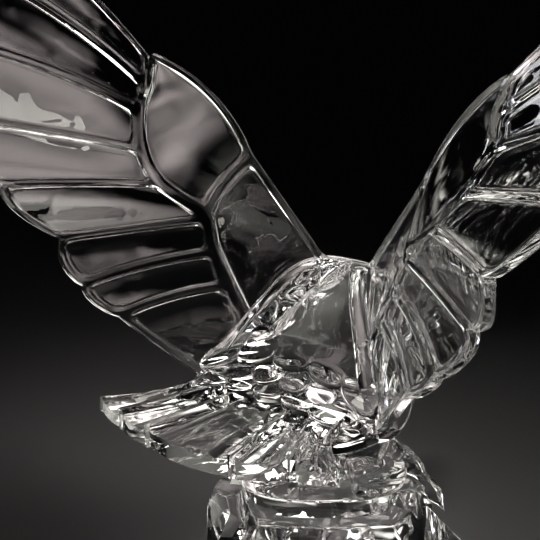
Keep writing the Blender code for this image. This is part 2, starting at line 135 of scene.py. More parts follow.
def wing_plan(rib, reach):
    """Place in the wing's plane. rib counts the ribs from the wrist to the
    body, reach goes 0 at the leading edge, 1 at the vein, 2 at the outline."""
    vein = spline([row[:2] for row in RIBS], rib)
    if reach <= 1.0:
        near_covert = 1.0 - min(abs(rib - COVERT_RIB) / COVERT_BOW_RIBS, 1.0)
        return bowed(leading_edge(rib), vein, COVERT_BOW * smooth(near_covert), reach)
    run = reach - 1.0
    first = min(int(rib), LAST_RIB - 1)
    share = rib - first
    near, far = RIBS[first], RIBS[first + 1]
    on_near = bowed(near[:2], near[2:4], near[4], run)
    on_far = bowed(far[:2], far[2:4], far[4], run)
    place = lerp(on_near, on_far, share)
    straight = lerp(near[:2], far[:2], share)
    place = (place[0] + (vein[0] - straight[0]) * (1.0 - run),
             place[1] + (vein[1] - straight[1]) * (1.0 - run))
    along = lerp(near[2:4], far[2:4], share)
    along = (along[0] - straight[0], along[1] - straight[1])
    bulge = FEATHER_TIP_BULGE[first] * run ** 2
    bulge *= math.sin(math.pi * share) ** FEATHER_TIP_FULLNESS
    length = math.hypot(*along)
    return (place[0] + along[0] / length * bulge, place[1] + along[1] / length * bulge)


def wing_lift(rib, reach):
    """Height of the plate's middle over the wing's flat plane."""
    root, middle, tip = spline([row[5:] for row in RIBS], rib)
    if reach <= 1.0:
        return (root * math.sin(reach * math.pi / 2.0)
                - LEADING_EDGE_FORWARD * math.cos(reach * math.pi / 2.0))
    run = reach - 1.0
    return root + (middle - root) * (1.0 - (1.0 - run) ** 4) + (tip - middle) * run ** 2


def fall_off(distance, top, width):
    """1 on a rib's flat top, 0 past its rounded side."""
    return 1.0 - smooth((distance - top) / width)


def pocket(across, along):
    """Distance into a pocket with round corners, from its two nearer sides."""
    if across < CORNER_ROUND and along < CORNER_ROUND:
        return CORNER_ROUND - math.hypot(CORNER_ROUND - across, CORNER_ROUND - along)
    return min(across, along)


def wing_half_thickness(rib, reach):
    """Half the glass at a place: full at ribs and vein, less in each panel."""
    root = smooth((rib - COVERT_RIB) / (LAST_RIB - COVERT_RIB))
    vein = THICKNESS_VEIN + (THICKNESS_ROOT - THICKNESS_VEIN) * root
    first = min(int(rib), LAST_RIB - 1)
    share = rib - first
    if reach <= 1.0:
        full = vein + (THICKNESS_TIP - vein) * (1.0 - reach) * RIM_THINNING
        span = math.dist(wing_plan(rib, 0.0), wing_plan(rib, 1.0))
        to_rim = reach * span
        to_vein = (1.0 - reach) * span - VEIN_TOP + RIB_TOP
        to_covert = abs(rib - COVERT_RIB) * COVERT_SPACING
        inside = pocket(min(to_rim - RIM_BORDER, to_vein), to_covert)
        spot = 4.0 * reach * (1.0 - reach)
    else:
        full = vein + (THICKNESS_TIP - vein) * (reach - 1.0)
        width = math.dist(wing_plan(first, reach), wing_plan(first + 1, reach))
        length = math.dist(wing_plan(rib, 1.0), wing_plan(rib, 2.0))
        across = min(share, 1.0 - share) * width
        to_tip = (2.0 - reach) * length
        to_rim = to_tip
        if first == 0:
            to_rim = min(to_tip, share * width)
            across = min(share * width - LEADING_RIM_BORDER, (1.0 - share) * width)
        to_vein = (reach - 1.0) * length - VEIN_TOP + RIB_TOP
        inside = pocket(across, min(to_vein, to_tip - RIM_BORDER))
        spot = 4.0 * share * (1.0 - share)
    depth = 1.0 - fall_off(inside, RIB_TOP, RIB_FALL)
    half = full / 2.0 - depth * (PANEL_RECESS - PANEL_PILLOW * spot)
    if to_rim < RIM_ROUND:
        half -= RIM_ROUND - math.sqrt(max(RIM_ROUND ** 2 - (RIM_ROUND - to_rim) ** 2, 0.0))
    return half


def wing_point(side, rib, reach, face):
    """A point on the wing. Past the last rib it tucks into the body."""
    tuck = max(rib - LAST_RIB, 0.0)
    rib = min(rib, LAST_RIB)
    out, up = wing_plan(rib, reach)
    lift = wing_lift(rib, reach) + face * wing_half_thickness(rib, reach)
    sweep, lean = WING_SWEEP, WING_LEAN
    outward = Vector((math.cos(sweep), math.sin(sweep), 0.0))
    normal = Vector((-math.sin(sweep) * math.cos(lean), math.cos(sweep) * math.cos(lean),
                     math.sin(lean)))
    upward = outward.cross(normal)
    place = Vector((SHOULDER_HALF_WIDTH, 0.0, 0.0))
    place += outward * out + upward * up + normal * lift
    place += Vector(WING_TUCK) * tuck
    return to_row(side * place.x, place.y, place.z)


# How far from a rib's middle line the wing's surface is measured
RIB_STEPS = [0.0, 0.9, 1.2, 1.6, 2.0, 2.3, 3.2]
RIM_STEPS = [0.0, 0.06, 0.25, 0.55, 0.9, 1.9, 2.3, 2.8, 3.3, 4.2]
VEIN_STEPS = [0.0, 1.8, 2.1, 2.5, 2.9, 3.2, 4.6]
# Even steps between those: leading edge to vein, vein to outline, rib to rib
COVERT_SPANS = 9
FEATHER_SPANS = 22
RIB_SPANS = 10
FEATHER_WIDTH_AT_ROOT = 15.0
TUCK_STEPS = (0.5, 1.0)


def stations(width, first_steps, last_steps, between):
    """Shares of a width: close together at its two ends, even in the middle."""
    scale = min(1.0, 0.45 * width / max(first_steps[-1], last_steps[-1]))
    start = [step * scale / width for step in first_steps]
    end = [1.0 - step * scale / width for step in last_steps][::-1]
    gap = end[0] - start[-1]
    middle = [start[-1] + gap * (k + 1) / (between + 1) for k in range(between)]
    return start + middle + end


def steps_after(rib):
    return RIM_STEPS if rib == 0 else RIB_STEPS


def make_wing(side):
    """The left wing for side 1, the right one for side -1."""
    rows = 2 * (len(RIM_STEPS) + len(VEIN_STEPS)) + COVERT_SPANS + FEATHER_SPANS - 1
    columns = []
    for rib in range(LAST_RIB):
        count = len(steps_after(rib)) + RIB_SPANS + len(RIB_STEPS)
        columns += [(rib, step) for step in range(count - 1)]
    columns.append((LAST_RIB - 1, count - 1))
    columns += [LAST_RIB + tuck for tuck in TUCK_STEPS]
    reaches = {}

    def reach_at(rib, row):
        key = round(rib, 4)
        if key not in reaches:
            covert = math.dist(wing_plan(rib, 0.0), wing_plan(rib, 1.0))
            feather = math.dist(wing_plan(rib, 1.0), wing_plan(rib, 2.0))
            near = stations(covert, RIM_STEPS, VEIN_STEPS, COVERT_SPANS)
            far = stations(feather, VEIN_STEPS, RIM_STEPS, FEATHER_SPANS)
            reaches[key] = near + [1.0 + share for share in far[1:]]
        return reaches[key][row]

    def surface(column, row, face):
        place = columns[column]
        if isinstance(place, float):
            return wing_point(side, place, reach_at(float(LAST_RIB), row), face)
        rib, step = place
        share = stations(FEATHER_WIDTH_AT_ROOT, steps_after(rib), RIB_STEPS,
                         RIB_SPANS)[step]
        reach = reach_at(rib + share, row)
        if reach > 1.0:
            width = math.dist(wing_plan(rib, reach), wing_plan(rib + 1, reach))
            share = stations(width, steps_after(rib), RIB_STEPS, RIB_SPANS)[step]
            reach = reach_at(rib + share, row)
        return wing_point(side, rib + share, reach, face)

    return plate("left_wing" if side > 0 else "right_wing", len(columns), rows, surface)


def plate(name, columns, rows, surface):
    """A closed plate: surface(column, row, face) gives its two faces."""
    shape = bmesh.new()
    for face in (1.0, -1.0):
        made = bmesh.ops.create_grid(shape, x_segments=columns - 1, y_segments=rows - 1,
                                     size=0.5)
        for vert in made["verts"]:
            column = round((vert.co.x + 0.5) * (columns - 1))
            row = round((vert.co.y + 0.5) * (rows - 1))
            vert.co = surface(column, row, face)
    rims = [edge for edge in shape.edges if edge.is_boundary]
    bmesh.ops.bridge_loops(shape, edges=rims)
    return finish(name, shape)


def finish(name, shape):
    """Turn a built shape into an object."""
    bmesh.ops.remove_doubles(shape, verts=shape.verts, dist=0.00001)
    bmesh.ops.recalc_face_normals(shape, faces=shape.faces)
    mesh = bpy.data.meshes.new(name)
    shape.to_mesh(mesh)
    shape.free()
    return bpy.data.objects.new(name, mesh)


# Tail: a flat fan of five feathers. Ribs from the side to the middle:
# root half width, tip half width, tip back, flare
TAIL_TOP = -43.0
TAIL_THICKNESS_MIDDLE = 8.4
TAIL_THICKNESS_EDGE = 5.5
TAIL_ROOT_BACK = 30.0
TAIL_CORNER_DROP = 1.5
TAIL_RIBS = [
    (32.0, 51.5, 84.0, 3.5),
    (20.0, 36.0, 89.3, 1.5),
    (9.0, 18.8, 93.8, 1.0),
]
TAIL_HALF_FEATHERS = 2.5
TAIL_TIP_BULGE = (3.4, 1.8, 1.4)
TAIL_TIP_FULLNESS = 0.8
TAIL_RIB_BUMP = 1.3
TAIL_RIB_BUMP_WIDTH = 1.6
TAIL_RIB_HALF_WIDTH = 0.8
TAIL_RIB_SLOPE = 3.5
TAIL_FLUTES = 2
TAIL_FLUTE_DEPTH = 0.8
TAIL_RECESS = 1.8
TAIL_RIGHT_SHORTER = 5.0
# Steps from each middle of a feather to its ribs, and from the root to the tips
TAIL_STEPS = [0.0, 0.1, 0.2, 0.3, 0.36, 0.42, 0.46, 0.5]
TAIL_ROWS = 24
TAIL_TIP_ROWS = [0.975, 0.99, 1.0]

# Body and neck, from the rump to the face:
# back line (back, up), belly line (back, up), half width, squareness of the back
BODY = [
    (44.0, -49.0, 43.0, -55.0, 20.0, 2.0),
    (44.0, -43.0, 38.0, -60.0, 36.0, 2.2),
    (38.0, -37.0, 28.0, -64.0, 43.5, 2.5),
    (26.0, -24.5, 8.0, -71.0, 40.0, 3.0),
    (13.0, -11.5, -12.0, -74.0, 33.0, 3.4),
    (0.0, -2.5, -27.0, -64.0, 26.0, 3.4),
    (-12.0, -6.0, -36.0, -50.0, 20.0, 2.6),
    (-25.0, -11.0, -43.0, -42.0, 15.0, 2.2),
    (-38.0, -15.0, -51.0, -40.0, 13.5, 2.1),
    (-50.0, -20.0, -58.0, -40.0, 12.0, 2.1),
    (-60.0, -27.0, -62.0, -39.0, 8.5, 2.0),
    (-64.0, -32.0, -64.0, -37.0, 4.0, 2.0),
]
BELLY_SQUARENESS = 2.2
BODY_END_STEEPNESS = 14.0

# Hooked beak: middle line (back, up), half width, half height
BEAK = [
    (-56.0, -31.5, 6.5, 6.5),
    (-63.0, -33.0, 5.6, 5.8),
    (-69.0, -35.5, 4.4, 4.8),
    (-73.2, -40.0, 3.0, 3.4),
    (-74.2, -45.5, 1.3, 1.6),
]

# How quickly beak, creases and toes close at their ends
END_STEEPNESS = 12.0
TOE_END_STEEPNESS = 9.0

# Thighs and feet
THIGH_PLACE = (11.0, 5.0, -70.0)
THIGH_SIZE = (12.5, 17.0, 18.0)
FOOT_PLACE = (13.0, -3.0, -80.0)
TOE_SPREAD = math.radians(31.0)
TOE_TURN_OUT = math.radians(22.0)
TOE_LENGTH = 33.0
TOE_START = 2.0
TOE_THICKNESS = 4.6
TOE_DROP = 30.0
TOE_CURL = 2.2
TOE_TAPER = 0.6
CLAW_THICKNESS = 0.5
TOE_KNUCKLES = 0.24
TOE_KNUCKLE_WAVES = 7.0
HIND_TOE_PLACE = (9.0, 8.0, -79.0)
HIND_TOE_LENGTH = 14.0
HIND_TOE_DROP = 9.0
HIND_TOE_TURN = math.radians(14.0)

# Rump: layers of short feathers over the root of the tail, each with a scalloped
# lower edge: back, up, half width, scallops, slope, length, how far the sides
# come back and drop
RUMP_LAYERS = [
    (35.5, -34.4, 40.0, 5, 38.0, 12.0, 6.0, 9.0),
    (42.5, -40.3, 37.0, 6, 30.0, 11.0, 5.5, 6.5),
    (50.0, -42.8, 32.0, 5, 12.0, 13.0, 3.5, 2.5),
]
RUMP_THICKNESS = 3.0
RUMP_SEAT = 4.5
RUMP_SEAT_START = 4.0
RUMP_RIM_ROUND = 1.2
SCALLOP_REACH = 4.6
SCALLOP_CROWN = 1.9
SCALLOP_FULLNESS = 0.55
CROWN_SHARE_BELOW = 0.3
RUMP_COLUMNS = 141
RUMP_ROWS = 26

# Raised line where each wing's back meets the body: out, back, up
CREASE = [
    (8.5, 2.0, -3.0),
    (12.2, 10.1, -4.1),
    (16.2, 16.5, -7.8),
    (20.4, 22.0, -14.2),
    (25.3, 27.2, -22.0),
    (30.8, 33.1, -32.3),
    (36.2, 38.5, -42.9),
    (40.0, 42.0, -50.0),
]
CREASE_WIDTH = 3.3
CREASE_HEIGHT = 1.5

# Flank: a flat rim that runs from the wing's foot along the tail
FLANK_MIDDLE = (29.0, 50.0, -50.6)
FLANK_SIZE = (12.0, 17.5, 2.7)
FLANK_SLOPE = 0.2
FLANK_SQUARENESS = 4.0
FLANK_FULLNESS = 0.35

# Rock: a smooth drum under the bird, a waist and a faceted base. Its places are
# right, near and up for somebody who stands behind the bird's left shoulder
FLOOR_CUT = Vector((240.0, 240.0, 60.0))
ROCK_MIDDLE = (5.0, 9.0)
ROCK_TURN = math.radians(37.3)
DRUM = ((1.0, 0.0, -90.5), (35.0, 18.0, 10.5), 3.0)
WAIST = ((2.0, 0.0, -104.0), (29.0, 15.0, 14.0), 2.2)
ROCK_SQUARENESS = 2.6
# Corners of the base: angle from near to right, top radius, top, bottom radius
BASE_CORNERS = [
    (15.0, 24.0, -105.0, 42.0),
    (52.0, 36.0, -104.0, 53.0),
    (90.0, 44.0, -106.0, 66.0),
    (138.0, 35.0, -103.0, 49.0),
    (185.0, 30.0, -106.0, 43.0),
    (230.0, 32.0, -104.0, 45.0),
    (272.0, 30.0, -106.0, 43.0),
    (312.0, 33.0, -104.0, 47.0),
]
BASE_BOTTOM = -130.0
STONE_EDGE = 1.1
# Facets of a stone: how many, how they are staggered, their slopes, and how
# much further out every second one lies
FACETS = 8
FACET_STAGGER = 11.0
FACET_SLOPES = (0.35, 0.95)
FACET_STEP_OUT = 0.22
# Stones around it: middle, half sizes, turn, how far out the corners are cut
BOULDERS = [
    ((-37.5, 0.0, -113.0), (8.8, 13.0, 13.8), 12.0, 0.92),
    ((36.0, -4.0, -112.0), (13.0, 14.0, 12.0), 25.0, 0.80),
    ((-1.0, -31.0, -112.0), (19.0, 16.0, 18.0), 40.0, 0.80),
    ((24.0, -22.0, -114.0), (17.0, 15.0, 18.0), -12.0, 0.82),
]

# Segments and rings of the round forms, and the angle that stays a sharp edge
BODY_MESH = (112, 120)
BEAK_MESH = (32, 32)
THIGH_MESH = (32, 20)
TOE_MESH = (16, 28)
CREASE_MESH = (20, 60)
FLANK_MESH = (48, 24)
PEBBLE_MESH = (64, 48)
SHARP_ANGLE = math.radians(32.0)


def tail_point(across, run, face):
    """across counts feathers from the middle one, run goes from root to tips."""
    sign = -1.0 if across < 0 else 1.0
    place = abs(across)
    root, tip, back, _ = TAIL_RIBS[-1]
    ribs = [(-root, -tip, back, 1.0)] + TAIL_RIBS[::-1]
    first = min(int(place + 0.5), 2)
    share = place + 0.5 - first
    ends = []
    for root, tip, back, flare in ribs[first:first + 2]:
        ends.append((root + (tip - root) * run ** flare,
                     TAIL_ROOT_BACK + (back - TAIL_ROOT_BACK) * run))
    x, y = lerp(ends[0], ends[1], share)
    y += TAIL_TIP_BULGE[first] * math.sin(math.pi * share) ** TAIL_TIP_FULLNESS * run ** 2
    if sign < 0:
        y -= TAIL_RIGHT_SHORTER * smooth(place - 0.5) * run
    from_rib = min(share, 1.0 - share) * math.dist(ends[0], ends[1])
    y += TAIL_RIB_BUMP * (1.0 - smooth(from_rib / TAIL_RIB_BUMP_WIDTH)) * run ** 12
    depth = smooth((from_rib - TAIL_RIB_HALF_WIDTH) / TAIL_RIB_SLOPE) * smooth(run * 2.0)
    flute = math.sin(2.0 * math.pi * TAIL_FLUTES * share) ** 2 * depth * TAIL_FLUTE_DEPTH
    edge = (place / TAIL_HALF_FEATHERS) ** 3
    z = TAIL_TOP - TAIL_CORNER_DROP * edge * run
    if face > 0:
        z -= TAIL_RECESS * depth + flute
    else:
        z -= TAIL_THICKNESS_MIDDLE + (TAIL_THICKNESS_EDGE - TAIL_THICKNESS_MIDDLE) * edge
    return to_row(sign * x, y, z)


def make_tail():
    places = sorted({round(feather + sign * step, 3) for feather in (0, 1, 2)
                     for step in TAIL_STEPS for sign in (-1, 1)
                     if 0.0 <= feather + sign * step <= TAIL_HALF_FEATHERS})
    columns = [-place for place in places[:0:-1]] + places
    rows = [row / TAIL_ROWS for row in range(TAIL_ROWS)] + TAIL_TIP_ROWS
    return plate("tail", len(columns), len(rows),
                 lambda column, row, face: tail_point(columns[column], rows[row], face))


def rounded(name, segments, rings, surface):
    """A closed round form: surface(along, around) over a sphere's grid."""
    shape = bmesh.new()
    bmesh.ops.create_uvsphere(shape, u_segments=segments, v_segments=rings, radius=1.0)
    for vert in shape.verts:
        along = math.acos(min(max(vert.co.z, -1.0), 1.0)) / math.pi
        around = math.atan2(vert.co.y, vert.co.x)
        vert.co = surface(along, around)
    return finish(name, shape)


def power(value, squareness):
    return math.copysign(abs(value) ** (2.0 / squareness), value)


def body_point(along, around):
    back_y, back_z, belly_y, belly_z, width, square = spline(BODY, along * (len(BODY) - 1))
    closing = min(along, 1.0 - along) * BODY_END_STEEPNESS
    round_off = math.sqrt(1.0 - (1.0 - min(closing, 1.0)) ** 2)
    square = square if around > 0 else BELLY_SQUARENESS
    level = power(math.sin(around), square) * round_off
    x = power(math.cos(around), square) * width * round_off
    y = (back_y + belly_y) / 2.0 + (back_y - belly_y) / 2.0 * level
    z = (back_z + belly_z) / 2.0 + (back_z - belly_z) / 2.0 * level
    return to_row(x, y, z)


def beak_point(along, around):
    y, z, width, height = spline(BEAK, along * (len(BEAK) - 1))
    ahead = spline(BEAK, min(along * (len(BEAK) - 1) + 0.1, len(BEAK) - 1.0))
    behind = spline(BEAK, max(along * (len(BEAK) - 1) - 0.1, 0.0))
    run = math.atan2(ahead[1] - behind[1], ahead[0] - behind[0])
    round_off = min(1.0, min(along, 1.0 - along) * END_STEEPNESS)
    offset = math.sin(around) * height * round_off
    return to_row(math.cos(around) * width * round_off,
                  y + math.sin(run) * offset, z - math.cos(run) * offset)


def ellipsoid(name, middle, half):
    def surface(along, around):
        x = math.sin(along * math.pi) * math.cos(around) * half[0]
        y = math.sin(along * math.pi) * math.sin(around) * half[1]
        z = math.cos(along * math.pi) * half[2]
        return to_row(middle[0] + x, middle[1] + y, middle[2] + z)
    return rounded(name, *THIGH_MESH, surface)


def make_toe(name, start, turn, length, thickness, drop):
    """A toe that runs out over the rock and ends in a down-curved claw."""
    def surface(along, around):
        reach = length * along
        fall = drop * along ** TOE_CURL
        bend = math.atan2(drop * TOE_CURL * along ** (TOE_CURL - 1.0), length)
        radius = thickness * (1.0 - TOE_TAPER * along) + CLAW_THICKNESS
        radius *= min(1.0, min(along, 1.0 - along) * TOE_END_STEEPNESS)
        radius *= 1.0 + TOE_KNUCKLES * math.cos(along * math.pi * TOE_KNUCKLE_WAVES)
        side = math.cos(around) * radius
        lift = math.sin(around) * radius
        ahead = reach - TOE_START + lift * math.sin(bend)
        x = start[0] + math.sin(turn) * ahead + math.cos(turn) * side
        y = start[1] - math.cos(turn) * ahead + math.sin(turn) * side
        return to_row(x, y, start[2] - fall + lift * math.cos(bend))
    return rounded(name, *TOE_MESH, surface)


def make_boulder(name, middle, half, turn, depth):
    """A block with its corners and upper edges cut off to flat facets."""
    shape = bmesh.new()
    bmesh.ops.create_cube(shape, size=2.0)
    for facet in range(FACETS):
        angle = math.radians(turn + facet * 360.0 / FACETS + FACET_STAGGER * (facet % 3))
        upper = facet % 2
        normal = Vector((math.cos(angle), math.sin(angle), FACET_SLOPES[upper])).normalized()
        cut = bmesh.ops.bisect_plane(
            shape, geom=shape.verts[:] + shape.edges[:] + shape.faces[:],
            plane_co=normal * (depth + FACET_STEP_OUT * upper), plane_no=normal,
            clear_outer=True)
        rim = [item for item in cut["geom_cut"] if isinstance(item, bmesh.types.BMEdge)]
        if rim:
            bmesh.ops.edgeloop_fill(shape, edges=rim)
    for vert in shape.verts:
        vert.co = rock_place(*(place + unit * size for place, unit, size
                               in zip(middle, vert.co, half)))
    return finish(name, soften_edges(shape))


def rock_place(right, near, up):
    """From the rock's own measure to the row's frame."""
    turned, level = math.sin(ROCK_TURN), math.cos(ROCK_TURN)
    return to_row(ROCK_MIDDLE[0] - level * right - turned * near,
                  ROCK_MIDDLE[1] - turned * right + level * near, up)


def soften_edges(shape):
    """Round the edges of a cut stone, as the fire polish does."""
    bmesh.ops.dissolve_limit(shape, angle_limit=0.02, verts=shape.verts, edges=shape.edges)
    bmesh.ops.bevel(shape, geom=shape.edges[:], affect='EDGES', offset=STONE_EDGE * MM,
                    segments=3, profile=0.5, material=-1, clamp_overlap=True)
    return shape


def make_pebble(name, middle, half, squareness):
    """A smooth block with soft corners."""
    def surface(along, around):
        ring = max(math.sin(along * math.pi), 0.0) ** (2.0 / squareness)
        right = power(math.cos(around), ROCK_SQUARENESS) * ring * half[0]
        near = power(math.sin(around), ROCK_SQUARENESS) * ring * half[1]
        up = power(math.cos(along * math.pi), squareness) * half[2]
        return rock_place(middle[0] + right, middle[1] + near, middle[2] + up)
    return rounded(name, *PEBBLE_MESH, surface)


def make_base():
    """The faceted foot of the rock."""
    shape = bmesh.new()
    sides = len(BASE_CORNERS)
    bmesh.ops.create_cone(shape, cap_ends=True, segments=sides, radius1=1.0, radius2=1.0,
                          depth=1.0)
    for vert in shape.verts:
        number = round(math.atan2(vert.co.y, vert.co.x) / (2.0 * math.pi) * sides) % sides
        angle, top_radius, top, bottom_radius = BASE_CORNERS[number]
        reach, up = (top_radius, top) if vert.co.z > 0 else (bottom_radius, BASE_BOTTOM)
        angle = math.radians(angle)
        vert.co = rock_place(math.sin(angle) * reach, math.cos(angle) * reach, up)
    return finish("base", soften_edges(shape))


def make_cut_below():
    """What is cut off below the flat underside."""
    shape = bmesh.new()
    bmesh.ops.create_cube(shape, size=1.0)
    bmesh.ops.scale(shape, verts=shape.verts, vec=FLOOR_CUT * MM)
    bmesh.ops.translate(shape, verts=shape.verts, vec=(0.0, 0.0, -FLOOR_CUT.z / 2.0 * MM))
    return finish("below_the_underside", shape)


def make_rump():
    """The layers of short feathers: wedges that are sunk into the body."""
    layers = []
    for number, layer in enumerate(RUMP_LAYERS):
        back, up, half_width, scallops, slope, length, side_back, side_drop = layer
        slope = math.radians(slope)

        def surface(column, row, face):
            share = 2.0 * column / (RUMP_COLUMNS - 1) - 1.0
            hidden = (row / (RUMP_ROWS - 1)) ** 2
            scallop = abs(math.sin(math.pi * scallops * (share + 1.0) / 2.0))
            scallop **= SCALLOP_FULLNESS
            edge = SCALLOP_REACH * scallop
            along = edge - hidden * (length + edge)
            rim = math.sqrt(1.0 - (1.0 - min(hidden * length / RUMP_RIM_ROUND, 1.0)) ** 2)
            over = face * RUMP_THICKNESS / 2.0 * rim
            crown = SCALLOP_CROWN * scallop * (1.0 - hidden) ** 2
            seat = RUMP_SEAT * smooth(hidden * RUMP_SEAT_START)
            over += crown if face > 0 else crown * CROWN_SHARE_BELOW - seat
            y = back + side_back * share ** 2 + along * math.cos(slope) + over * math.sin(slope)
            z = up - side_drop * share ** 2 - along * math.sin(slope) + over * math.cos(slope)
            return to_row(half_width * share, y, z)

        layers.append(plate(f"rump_layer_{number + 1}", RUMP_COLUMNS, RUMP_ROWS, surface))
    return layers


def make_crease(side):
    """The raised line between a wing and the back: a low, broad bead."""
    def surface(along, around):
        place = along * (len(CREASE) - 1)
        x, y, z = spline(CREASE, place)
        ahead = Vector(spline(CREASE, min(place + 0.05, len(CREASE) - 1.0)))
        behind = Vector(spline(CREASE, max(place - 0.05, 0.0)))
        run = (ahead - behind).normalized()
        across = run.cross(Vector((0.0, 0.0, 1.0))).normalized()
        fade = min(1.0, min(along, 1.0 - along) * END_STEEPNESS)
        offset = (across * math.cos(around) * CREASE_WIDTH
                  + across.cross(run) * math.sin(around) * CREASE_HEIGHT) * fade
        return to_row(side * (x + offset.x), y + offset.y, z + offset.z)
    return rounded("left_crease" if side > 0 else "right_crease", *CREASE_MESH, surface)


def make_flank(side):
    """The flat rim below a wing's foot."""
    def surface(along, around):
        round_off = math.sin(along * math.pi) ** FLANK_FULLNESS
        x = power(math.cos(around), FLANK_SQUARENESS) * FLANK_SIZE[0] * round_off
        y = power(math.sin(around), FLANK_SQUARENESS) * FLANK_SIZE[1] * round_off
        z = power(math.cos(along * math.pi), FLANK_SQUARENESS) * FLANK_SIZE[2]
        z += FLANK_SLOPE * y
        out, back, up = FLANK_MIDDLE
        return to_row(side * (out + x), back + y, up + z)
    return rounded("left_flank" if side > 0 else "right_flank", *FLANK_MESH, surface)


def join_forms(forms, cutter):
    """Fuse the closed forms into one skin without any wall inside."""
    whole = forms[0]
    bpy.context.scene.collection.objects.link(whole)
    for form in forms[1:] + [cutter]:
        bpy.context.scene.collection.objects.link(form)
        step = whole.modifiers.new(form.name, 'BOOLEAN')
        step.operation = 'DIFFERENCE' if form is cutter else 'UNION'
        step.solver = 'MANIFOLD'
        step.object = form
    depsgraph = bpy.context.evaluated_depsgraph_get()
    fused = bpy.data.meshes.new_from_object(whole.evaluated_get(depsgraph))
    for form in forms + [cutter]:
        bpy.data.objects.remove(form, do_unlink=True)
    return fused


def make_eagle():
    """Every form of the bird and its rock, fused into one casting."""
    forms = [rounded("body", *BODY_MESH, body_point), make_wing(1.0), make_wing(-1.0),
             make_tail(), rounded("beak", *BEAK_MESH, beak_point)]
    forms += make_rump()
    for side, word in ((1.0, "left"), (-1.0, "right")):
        forms += [make_crease(side), make_flank(side)]
        forms.append(ellipsoid(f"{word}_thigh", (side * THIGH_PLACE[0],) + THIGH_PLACE[1:],
                               THIGH_SIZE))
        foot = (side * FOOT_PLACE[0],) + FOOT_PLACE[1:]
        for toe in (-1, 0, 1):
            forms.append(make_toe(f"{word}_toe_{toe + 2}", foot,
                                  side * (toe * TOE_SPREAD + TOE_TURN_OUT),
                                  TOE_LENGTH, TOE_THICKNESS, TOE_DROP))
        hind = (side * HIND_TOE_PLACE[0],) + HIND_TOE_PLACE[1:]
        forms.append(make_toe(f"{word}_hind_toe", hind, math.pi - side * HIND_TOE_TURN,
                              HIND_TOE_LENGTH, TOE_THICKNESS, HIND_TOE_DROP))
    for index, (middle, half, turn, depth) in enumerate(BOULDERS):
        forms.append(make_boulder(f"boulder_{index + 1}", middle, half, turn, depth))
    forms += [make_pebble("drum", *DRUM), make_pebble("waist", *WAIST), make_base()]
    mesh = join_forms(forms, make_cut_below())
    mesh.name = "crystal_casting"
    mesh.materials.clear()
    mesh.shade_smooth()
    mesh.set_sharp_from_angle(angle=SHARP_ANGLE)
    eagle = bpy.data.objects.new("crystal_casting", mesh)
    bpy.context.scene.collection.objects.link(eagle)
    return eagle


class Wire:
    """A node's output, so that shader maths reads as plain expressions."""

    def __init__(self, nodes, socket):
        self.nodes, self.socket = nodes, socket

    def maths(self, operation, other=None):
        return self.nodes.add("ShaderNodeMath", {"operation": operation}, [self, other])

    def __mul__(self, other):
        return self.maths("MULTIPLY", other)

    def __sub__(self, other):
        return self.maths("SUBTRACT", other)

    def __rsub__(self, other):
        return self.nodes.add("ShaderNodeMath", {"operation": "SUBTRACT"}, [other, self])

    __rmul__ = __mul__


class Finish:
    """The shader of a material or a lamp, and the nodes that are added to it."""

    def __init__(self, owner, shader="Principled BSDF"):
        self.owner = owner
        owner.use_nodes = True
        self.tree = owner.node_tree
        self.shader = self.tree.nodes[shader]

    def add(self, kind, settings, values=(), output=0):
        node = self.tree.nodes.new(kind)
        for name, value in settings.items():
            setattr(node, name, value)
        pairs = values.items() if isinstance(values, dict) else enumerate(values)
        for name, value in pairs:
            if isinstance(value, Wire):
                self.tree.links.new(value.socket, node.inputs[name])
            elif value is not None:
                node.inputs[name].default_value = value
        return Wire(self, node.outputs[output])

    def set(self, **values):
        for name, value in values.items():
            socket = self.shader.inputs[name.replace("_", " ")]
            if isinstance(value, Wire):
                self.tree.links.new(value.socket, socket)
            else:
                socket.default_value = value


def clear_crystal():
    """Neutral lead crystal: see-through, with the faint waviness of a fire polish."""
    crystal = Finish(bpy.data.materials.new("fire_polished_crystal"))
    place = crystal.add("ShaderNodeTexCoord", {}, output="Object")
    swell = crystal.add("ShaderNodeTexNoise", {}, {
        "Vector": place, "Scale": 45.0, "Detail": 1.0, "Roughness": 0.4, "Distortion": 1.2})
    wavy = crystal.add("ShaderNodeBump", {}, {
        "Strength": 0.5, "Distance": 0.0006, "Height": swell})
    crystal.set(Base_Color=(1.0, 1.0, 1.0, 1.0), Roughness=0.0, IOR=1.545,
                Transmission_Weight=1.0, Normal=wavy)
    return crystal.owner


def matt_floor():
    floor = Finish(bpy.data.materials.new("pale_matt_floor"))
    floor.set(Base_Color=(0.38, 0.38, 0.39, 1.0), Roughness=0.9, Specular_IOR_Level=0.1)
    return floor.owner


def make_floor():
    shape = bmesh.new()
    bmesh.ops.create_grid(shape, x_segments=1, y_segments=1, size=FLOOR_HALF_WIDTH)
    floor = finish("studio_floor", shape)
    floor.data.materials.append(matt_floor())
    bpy.context.scene.collection.objects.link(floor)


# Studio, in metres in the row's frame. Each lamp is a soft-edged rectangle that
# looks at the bird and lights the glass alone
BIRD = Vector((0.0, 0.0, 0.14))
WARM = (1.0, 0.99, 0.90)
ROSY = (1.0, 0.89, 0.87)
COOL = (0.94, 0.97, 1.0)
